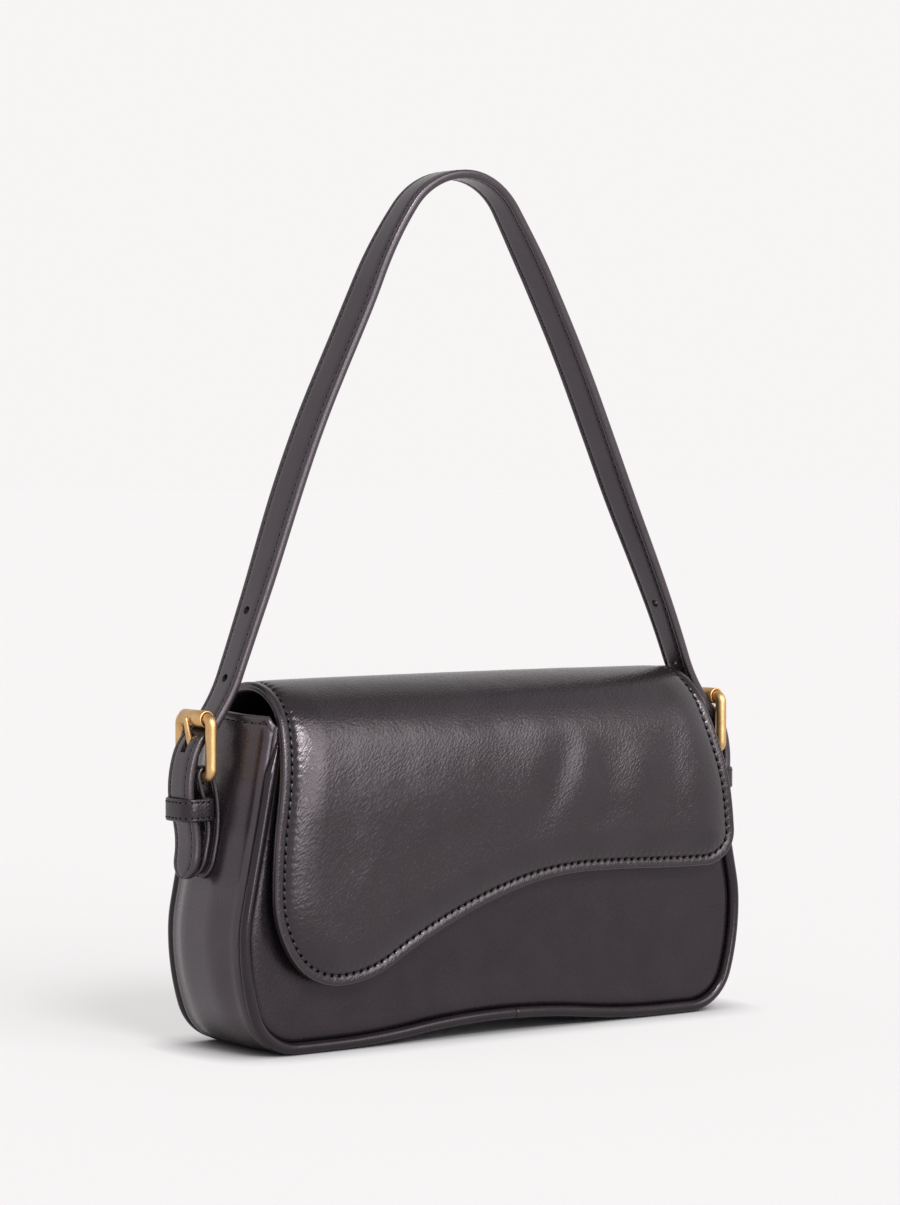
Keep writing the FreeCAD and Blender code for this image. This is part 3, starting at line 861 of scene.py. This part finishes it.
def flap_relief(flat, inward):
    """How the padded leather stands above the flat face: roll, soft crown, shallow dents and folds."""
    x, s = flat[..., 0], flat[..., 1]
    slant = fold_slant * (s - fold_s) * (1 - smoothstep(x, 15, 55))
    folds = np.sin(2 * math.pi * (x - fold_x - slant) / fold_pitch)
    folded = smoothstep(x, -10, 22) * (1 - smoothstep(s, 104, 132))
    slow, quick, small = rough(x, s, 60.0, 1.3), rough(x, s * 0.5, 21.0, 5.9), rough(x, s, 9.5, 8.3)
    dents = 0.4 * slow + 0.3 * quick + 0.1 * small + fold_depth * folded * folds
    front = 0.25 + 0.75 * smoothstep(TOP_S - s, 15, 45)
    form = flap_crown * smoothstep(inward, relief_in, 70) + smoothstep(inward, relief_in, 34) * dents
    return puff(s, inward) + front * form


def flap():
    """One padded sheet from the yoke's seam over the arch to the waved edge, with its stitching."""
    wide, high = 320, 230
    loop = flap_loop(wide, high)
    inwards = inward_normals(loop)
    line = loop + inwards * flap_stitch_in
    along = lengths(on_flap(np.vstack([line, line[:1]]), 0))
    phase = along[:-1] / along[-1] * round(along[-1] / stitch_pitch)
    pulled = 0.5 + 0.5 * np.cos(2 * math.pi * phase)
    # Rings round the rim (distance in, height), from the facing round the edge, then over the outer leather,
    # where the stitches pull (distance in, height, pull)
    facing_rim = [(9, -4.0), (6, -4.0), (4.7, -3.9), (4.2, -3.75), (3.7, -3.9), (2.5, -4.0), (1.1, -3.98),
                  (0.45, -3.8), (0.1, -3.4)]
    edge_rim = [(0.1, -3.4), (0.0, -2.9), (0.05, -2.4), (0.22, -2.05), (0.05, -1.7), (0.0, -1.3), (0.1, -0.8),
                (0.3, -0.45), (0.65, -0.2)]
    outer_rim = [(0.65, -0.2, 0), (1.1, -0.1, 0), (1.7, -0.1, 0), (2.4, -0.15, 0.02), (3.2, -0.3, 0.08),
                 (3.7, -0.5, 0.25), (4.2, -0.75, 0.6), (4.7, -0.55, 0.5), (5.3, -0.2, 0.36),
                 (6.0, -0.05, 0.24), (6.8, 0, 0.14), (7.7, 0, 0.07), (8.6, 0, 0.03)]
    outer_rim += [(d, 0, 0) for d in (9.4, 10.1, 10.7, 11.15, relief_in)]
    build = Build()
    rims = [np.array([on_flap(loop + inwards * d, h) for d, h in rim]) for rim in (facing_rim, edge_rim)]
    facing = build.grid(rims[0], 2)
    build.grid(rims[1], 1)
    rows = []
    for d, h, pull in outer_rim:
        flat = loop + inwards * d
        rows.append(on_flap(flat, h + puff(flat[:, 1], d) - pull * pulled))
    outer = build.grid(np.array(rows))
    for slot, ring, inset in ((0, outer[-1], outer_rim[-1][0]), (2, facing[0], facing_rim[0][0])):
        grid, edge = filled(loop + inwards * inset, wide, high)
        grid = grid[1:-1, 1:-1]
        whole = np.where(edge < 0, 0, ring[edge])
        height = -flap_t if slot else flap_relief(grid, nearest(grid, loop))
        whole[1:-1, 1:-1] = build.add(on_flap(grid, height))
        build.quads(whole, slot)
    thread = Build()
    for height, sign in ((-0.85, 1), (-3.75, -1)):
        on_face = on_flap(line, height)
        normals = (on_flap(line, height + 1) - on_face) * sign
        stitch(thread, on_face, normals, stitch_pitch, closed=True, hole_shade_r=flap_hole_shade_r)
    piece = build.piece("flap_leather", [PADDED, EDGE, SUEDE])
    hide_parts("flap_outer", "flap_padding", "flap_facing", "flap_yoke")
    return [piece, thread.piece("flap_thread", [THREAD, HOLE_SHADE])]


# Strap


def roller_touch(lean):
    """Where the strap's outer face, leaning this much, touches the roller from inside."""
    return *(toe - (roller_r + strap_clear) * unit(lean)), 90 + lean


def strap_nodes():
    """The strap's outer face from its right tip, through the buckle and over the top, to its left tip."""
    right = [
        (buckle_x + 7.2, heel_z - 41.8, 93),
        (buckle_x + 5.8, heel_z - 26.0, 87),
        (buckle_x + 9.1, heel_z - 6.0, 90),
        roller_touch(wrap_lean),
        roller_touch(pass_lean),
    ]
    x, z, _ = right[-1]
    lean = pass_lean
    for next_z, next_lean in leg_leans:
        x -= (next_z - z) * math.tan(math.radians((lean + next_lean) / 2))
        z, lean = next_z, next_lean
        right.append((x, z, 90 + lean))
    crown_x, crown_z, angle = right.pop()
    top = [
        (crown_shift + crown_x, crown_z, angle),
        (apex_x, apex_z, 180),
        (crown_shift - crown_x, crown_z, 360 - angle),
    ]
    return right + top + mirrored(right, 360)


def two_layers(thickness):
    """Half of a sewn strip's face: distances in from its edge, and depths, with its stitching's groove."""
    rounding = [(0.0, 1.0), (0.04, 0.75), (0.14, 0.5), (0.32, 0.28), (0.62, 0.1)]
    edge = [(inset, share * thickness / 2) for inset, share in rounding]
    face = [(1.0, 0.0), (1.7, 0.02), (2.2, 0.2), (2.5, 0.32), (2.8, 0.2), (3.4, -0.02), (5.0, -0.1)]
    return np.array(edge + face).T


def strip(run, thickness, step=1.6):
    """Rows of a sewn strip whose outer face follows a run, with half-round ends."""
    tip = np.array([0.02, 0.15, 0.4, 0.8, 1.3, 2.0, 3.0, 4.2, 5.6, 7.0])
    straight = np.arange(half_strap, run.length - half_strap, step)
    distance = np.concatenate([tip, straight, (run.length - tip)[::-1]])
    centre, inside = run.at(distance), run.left(distance)
    from_end = np.minimum(np.minimum(distance, run.length - distance), half_strap)
    width = np.sqrt(np.maximum(0, half_strap ** 2 - (half_strap - from_end) ** 2))
    insets, depths = two_layers(thickness)
    outer = [(-1, inset, False) for inset in insets] + [(1, inset, False) for inset in insets[::-1]]
    inner = [(side, inset, True) for side, inset, _ in reversed(outer) if inset > 0]
    columns = []
    for side, inset, is_inner in outer + inner:
        reached = np.minimum(inset, width)
        depth = np.interp(reached, insets, depths)
        depth = thickness - depth if is_inner else depth
        columns.append(upright(centre + inside * depth[:, None], side * (width - reached)))
    return capped(np.stack(columns, 1))


def strip_thread(build, run, thickness, faces=(1, -1), form=None):
    """Stitches near both edges of a strip and round its half-round ends."""
    inner = half_strap - strap_stitch_in
    last = run.length - half_strap
    arc = np.radians(np.arange(0, 181, 12))
    straight = np.linspace(half_strap, last, max(8, int(run.length)))
    half = [(d, inner) for d in straight] + [(last + inner * math.sin(a), inner * math.cos(a)) for a in arc]
    line = np.array(half + [(run.length - d, -y) for d, y in half])
    inside = run.left(line[:, 0])
    for face in faces:
        depth = stitch_sink if face > 0 else thickness - stitch_sink
        points = upright(run.at(line[:, 0]) + inside * depth, line[:, 1])
        if form:
            points = form(points)
        stitch(build, points, upright(-inside * face, 0), stitch_pitch, closed=True)


def hang(points):
    """How the standing strap leaves its flat curve: its legs bow outwards and turn a little."""
    x, y, z = np.moveaxis(points, -1, 0)
    leg = smoothstep(z, *leg_twist_z)
    top = smoothstep(z, *(apex_z - np.where(x > 0, *below) for below in untwist_below))
    moved = points.copy()
    for side, sign in SIDES.items():
        reach, middle, spread = leg_bow[side]
        bow = np.cos(np.clip((z - middle) / spread, -1, 1) * math.pi / 2) ** 2
        moved[..., 0] += np.where(x * sign > 0, sign * reach * bow, 0)
    moved[..., 0] -= y * leg_twist * leg * (1 - top)
    return moved


def strap():
    """The whole strap, with its punched holes, its slots for the prongs and its stitching."""
    run = Run(strap_nodes())
    build = Build()
    build.grid(hang(strip(run, strap_t)))
    piece = build.piece("strap_leather", [SMOOTH])

    def on_legs(z):
        place = run.where(z)
        return [(d, run.left(d)) for d in (place, run.length - place)]

    cutters = []
    for z in hole_zs:
        for place, inside in on_legs(z):
            start, end = (upright(run.at(place) + inside * depth, 0) for depth in punch)
            cutters.append(rod(start, end, hole_r))
    for place, inside in on_legs(seam_z):
        low, high = (run.at(place + aside) for aside in (-seam_half, seam_half))
        near, far = (inside * depth for depth in seam_depths)
        cutters.append(prism([low + near, high + near, high + far, low + far], half_strap + 1))
    (first, back), (last, ahead) = ((unit(90 - prong_lean - turn), prong_room * unit(-prong_lean - turn))
                                    for turn in prong_swing)
    fan = [-back, prong_reach * first - back, prong_reach * last + ahead, ahead]
    for sign in SIDES.values():
        cutters.append(prism(heel + fan, prong_slot_half, sign))
    cut(piece, cutters)
    thread = Build()
    strip_thread(thread, run, strap_t, form=hang)
    ends = ["strap_end_%s_%s" % (layer, side) for layer in ("face", "backing") for side in SIDES]
    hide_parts("strap_face", "strap_backing", *ends)
    return [piece, thread.piece("strap_thread", [THREAD, HOLE_SHADE])]


# Chapes, keepers and buckles, drawn on the right and mirrored for the left


def chape_run():
    """The tab's outer face: up its outer leather, round the heel bar and down its inner leather."""
    foot_x = half_width + side_swell - seat_low_in
    seat = [(foot_x - seat_rise_in * rise / seat_length, seat_low_z + rise, 90 + seat_lean)
            for rise in (1.0, 15.0)]
    outer = shifted(seat, -(2 * chape_t + chape_gap + sewn_gap))
    inner = [(x, z, angle + 180) for x, z, angle in shifted(seat, -sewn_gap)]
    reach = wire_r + chape_fit + chape_t
    bar = [(*(heel + unit(angle - 90) * reach), angle) for angle in (75, 165, 255)]
    return Run(outer + bar + inner[::-1])


def chape(side, sign):
    """The tab that holds the buckle, slotted for the prong and sewn near its edges."""
    run = chape_run()
    build, thread = Build(sign), Build(sign)
    build.grid(strip(run, chape_t, step=1.2))
    piece = build.piece("chape_leather_" + side, [SMOOTH])
    low, high = chape_slot
    cut(piece, [prism(heel + [(low, low), (high, low), (high, high), (low, high)], prong_slot_half, sign)])
    strip_thread(thread, run, chape_t, faces=(1,))
    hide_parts("chape_" + side)
    return [piece, thread.piece("chape_thread_" + side, [THREAD, HOLE_SHADE])]


def rounded_box(low, high, half, radius, step):
    """A closed loop (x, y) with rounded corners, its points at even distances."""
    corners = [(high - radius, half - radius), (low + radius, half - radius), (low + radius, radius - half),
               (high - radius, radius - half)]
    loop = [corner + radius * unit(90 * quarter + turn)
            for quarter, corner in enumerate(corners) for turn in range(0, 91, 15)]
    closed = np.array(loop + loop[:1])
    along = lengths(closed)
    count = round(along[-1] / step)
    return sample(closed, along, np.arange(count) * along[-1] / count)


def keeper(side, sign):
    """The stitched loop round the strap's end and the chape's outer leather."""
    low, high = node_mm("keeper_right")
    height = high[2] - low[2]
    low_x, high_x, half = low[0], high[0] - keeper_flat_in, half_strap + keeper_clear + keeper_t
    # Up the outer face (height, depth) to its middle, then the same to the top, and back down inside
    face = [(0.0, 0.55), (0.25, 0.15), (0.7, 0.0), (1.2, 0.06), (keeper_stitch_in, keeper_groove),
            (1.8, 0.06), (2.4, -0.05)]
    around = face + [(height - z, d) for z, d in reversed(face)]
    around += [(z, keeper_t) for z in (height - 0.4, height / 2, 0.4)]
    plan = rounded_box(low_x, high_x, half, keeper_corner_r, 0.8)
    outside = plan[:, 0] > (low_x + high_x) / 2
    plan[:, 0] += keeper_crown * np.cos(plan[:, 1] / half * math.pi / 2) * outside
    out = -inward_normals(plan)

    def ring(z, depth):
        return np.column_stack([plan - out * depth, np.full(len(plan), low[2] + z)])

    build, thread = Build(sign), Build(sign)
    build.grid(np.array([ring(z, depth) for z, depth in around]), loop_rows=True)
    normals = np.column_stack([out, np.zeros(len(out))])
    for z in (keeper_stitch_in, height - keeper_stitch_in):
        stitch(thread, ring(z, keeper_groove), normals, keeper_stitch_pitch, True, keeper_thread_r)
    piece = build.piece("keeper_leather_" + side, [LEATHER])
    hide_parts("keeper_" + side)
    return [piece, thread.piece("keeper_thread_" + side, [THREAD, HOLE_SHADE])]


def buckle(side, sign):
    """The wire frame, its rolled-sheet roller and its tapered prong, each on its own body."""
    around = circle(wire_sides)
    inner, r = frame_half - frame_corner_r, frame_corner_r
    bend = [(0, heel_z, 0), (inner, heel_z, 0), (frame_half, heel_z + r, 90), (frame_half, toe_z - r, 90),
            (inner, toe_z, 180)]
    run = Run(bend + mirrored(bend, 360))
    distance = np.arange(0, run.length, 0.6)
    points, aside = tube(run.at(distance), run.left(distance), wire_r, wire_sides)
    wire = np.concatenate([buckle_x + aside[..., None], points], -1)

    def ring(lip, z):
        """A ring round a bar at this height, from half of its section (y, radius)."""
        section = lip + [(-y, radius) for y, radius in reversed(lip)]
        return np.array([[(buckle_x + radius * math.cos(a), y, z + radius * math.sin(a)) for a in around]
                         for y, radius in section])

    half = inner - strap_clear
    wall = [(half - 0.2, roller_r), (half, 3.3), (half, 2.95), (half - 0.15, 2.75), (half - 1.5, 2.5)]
    eye = [(1.2, 3.8), (1.5, 3.5), (1.5, 2.45)]
    pin = [(3.0, 1.5), (10, 1.45), (18, 1.3), (22.4, 1.05), (23.4, 0.9), (23.9, 0.55), (24.1, 0.1)]
    reach, radius = np.array(pin).T
    points, aside = tube(heel + reach[:, None] * unit(90 - prong_lean),
                         np.tile(unit(-prong_lean), (len(pin), 1)), radius, wire_sides)
    grids = {
        "frame": [(wire, True)],
        "roller": [(ring(wall, toe_z), True)],
        "prong": [(capped(upright(points, aside)), False), (ring(eye, heel_z), True)],
    }
    for word, parts in grids.items():
        build = Build(sign)
        for rows, closed in parts:
            build.grid(rows, loop_rows=closed)
        piece = build.piece("buckle_%s_metal_%s" % (word, side), [BRASS])
        if word == "roller":
            sharpened(piece.data)
        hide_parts("buckle_%s_%s" % (word, side))
        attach(piece, "buckle_" + side if word == "frame" else "%s_%s" % (word, side))


# The bag put together


def dress():
    still = gusset() + [lining()]
    for side, word in ((-1, "front"), (1, "back")):
        still += [piping(side, word + "_piping"), panel(side, word + "_panel")]
    for side, sign in SIDES.items():
        still += chape(side, sign) + keeper(side, sign)
        buckle(side, sign)
    for piece in still:
        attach(piece, "bag")
    for piece in flap():
        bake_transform(piece)
    for piece in strap():
        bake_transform(piece)
    for name in ("snap_socket", "snap_socket_washer", "snap_stud", "snap_stud_washer"):
        mesh = frame["nodes"][name].data
        mesh.materials.clear()
        mesh.materials.append(BRASS)


# Studio


def floor():
    """A wide sheet of pale paper, seen partly as plain white so that its shadows stay light. That white is
    darkened close to the bag: a painted contact shadow.
    """
    made = material("floor_paper", Roughness=0.9, Specular_IOR_Level=0.1)
    cloud = made.texture("Noise", 600.0)
    tone = made.ramp(cloud, (0.3, (0.885, 0.875, 0.88)), (0.7, (0.9, 0.89, 0.893)))
    # Painted shadow: ambient occlusion darkens the white glow the camera sees, near where the bag stands
    near = made.node("ShaderNodeAmbientOcclusion", Distance=0.022, samples=8)
    paper = made.ramp(near, (0.2, 0.0), (1.0, (0.925, 0.895, 0.898)), output="AO")
    white = made.node("ShaderNodeEmission", Strength=1.0)
    made.link(paper, "Color", white, "Color")
    made.seen_as(white, share=0.66)
    mesh = bpy.data.meshes.new("floor")
    reach = 30.0
    corners = [(-reach, -reach, 0), (reach, -reach, 0), (reach, reach, 0), (-reach, reach, 0)]
    mesh.from_pydata(corners, [], [(0, 1, 2, 3)])
    mesh.materials.append(made.feed(Base_Color=tone))
    obj = placed("floor", mesh)


def sun(name, toward, strength, angle):
    """A large soft lamp far away, seen from the bag in this direction."""
    data = bpy.data.lights.new(name, "SUN")
    data.energy = strength
    data.angle = math.radians(angle)
    placed(name, data).rotation_euler = Vector(toward).to_track_quat("Z", "Y").to_euler()


def world(light, backdrop, ceiling):
    """Even light, and a pale backdrop that darkens overhead for what is seen."""
    made = Nodes(bpy.data.worlds.new("studio"), "Background", Color=(1.0, 0.985, 0.99, 1), Strength=light)
    kinds = ("TexCoord", "SeparateXYZ", "Background")
    where, split, seen = (made.node("ShaderNode" + kind) for kind in kinds)
    made.link(where, "Generated", split, 0)
    fade = made.ramp(split, (0.5, backdrop), (0.9, ceiling), output="Z")
    made.link(fade, "Color", seen, "Color")
    made.seen_as(seen)
    bpy.context.scene.world = made.owner


def camera():
    """The photograph's view: the bag's front and its left side, from slightly above."""
    yaw, pitch = 36.006, 2.063
    distance, aside, height = 1609.2, -5.35, 179.82
    image_height, focal_pixels = 1205, 3800
    (ahead, side), (level, fall) = unit(yaw), unit(pitch)
    forward = Vector((side * level, ahead * level, -fall))
    right = Vector((ahead, -side, 0))
    target = right * aside + Vector((0, mid_y, height))
    data = bpy.data.cameras.new("camera")
    data.sensor_width = 36.0
    data.lens = data.sensor_width * focal_pixels / image_height
    obj = placed("camera", data)
    turn = Matrix((right, right.cross(forward), -forward)).transposed().to_4x4()
    obj.matrix_world = Matrix.Translation((target - forward * distance) * MM) @ turn
    bpy.context.scene.camera = obj


dress()
floor()
sun("key", (-0.13, -0.77, 0.62), 2.2, 18)
sun("front", (0.36, -0.76, 0.54), 0.85, 30)
sun("low", (0.22, -0.94, 0.24), 0.7, 28)
sun("right", (0.85, -0.2, 0.45), 0.1, 50)
sun("strip", (-0.1, -0.985, 0.08), 0.6, 16)
world(0.42, (0.935, 0.91, 0.912), (0.45, 0.44, 0.44))
camera()
bpy.context.scene.view_settings.view_transform = "Standard"
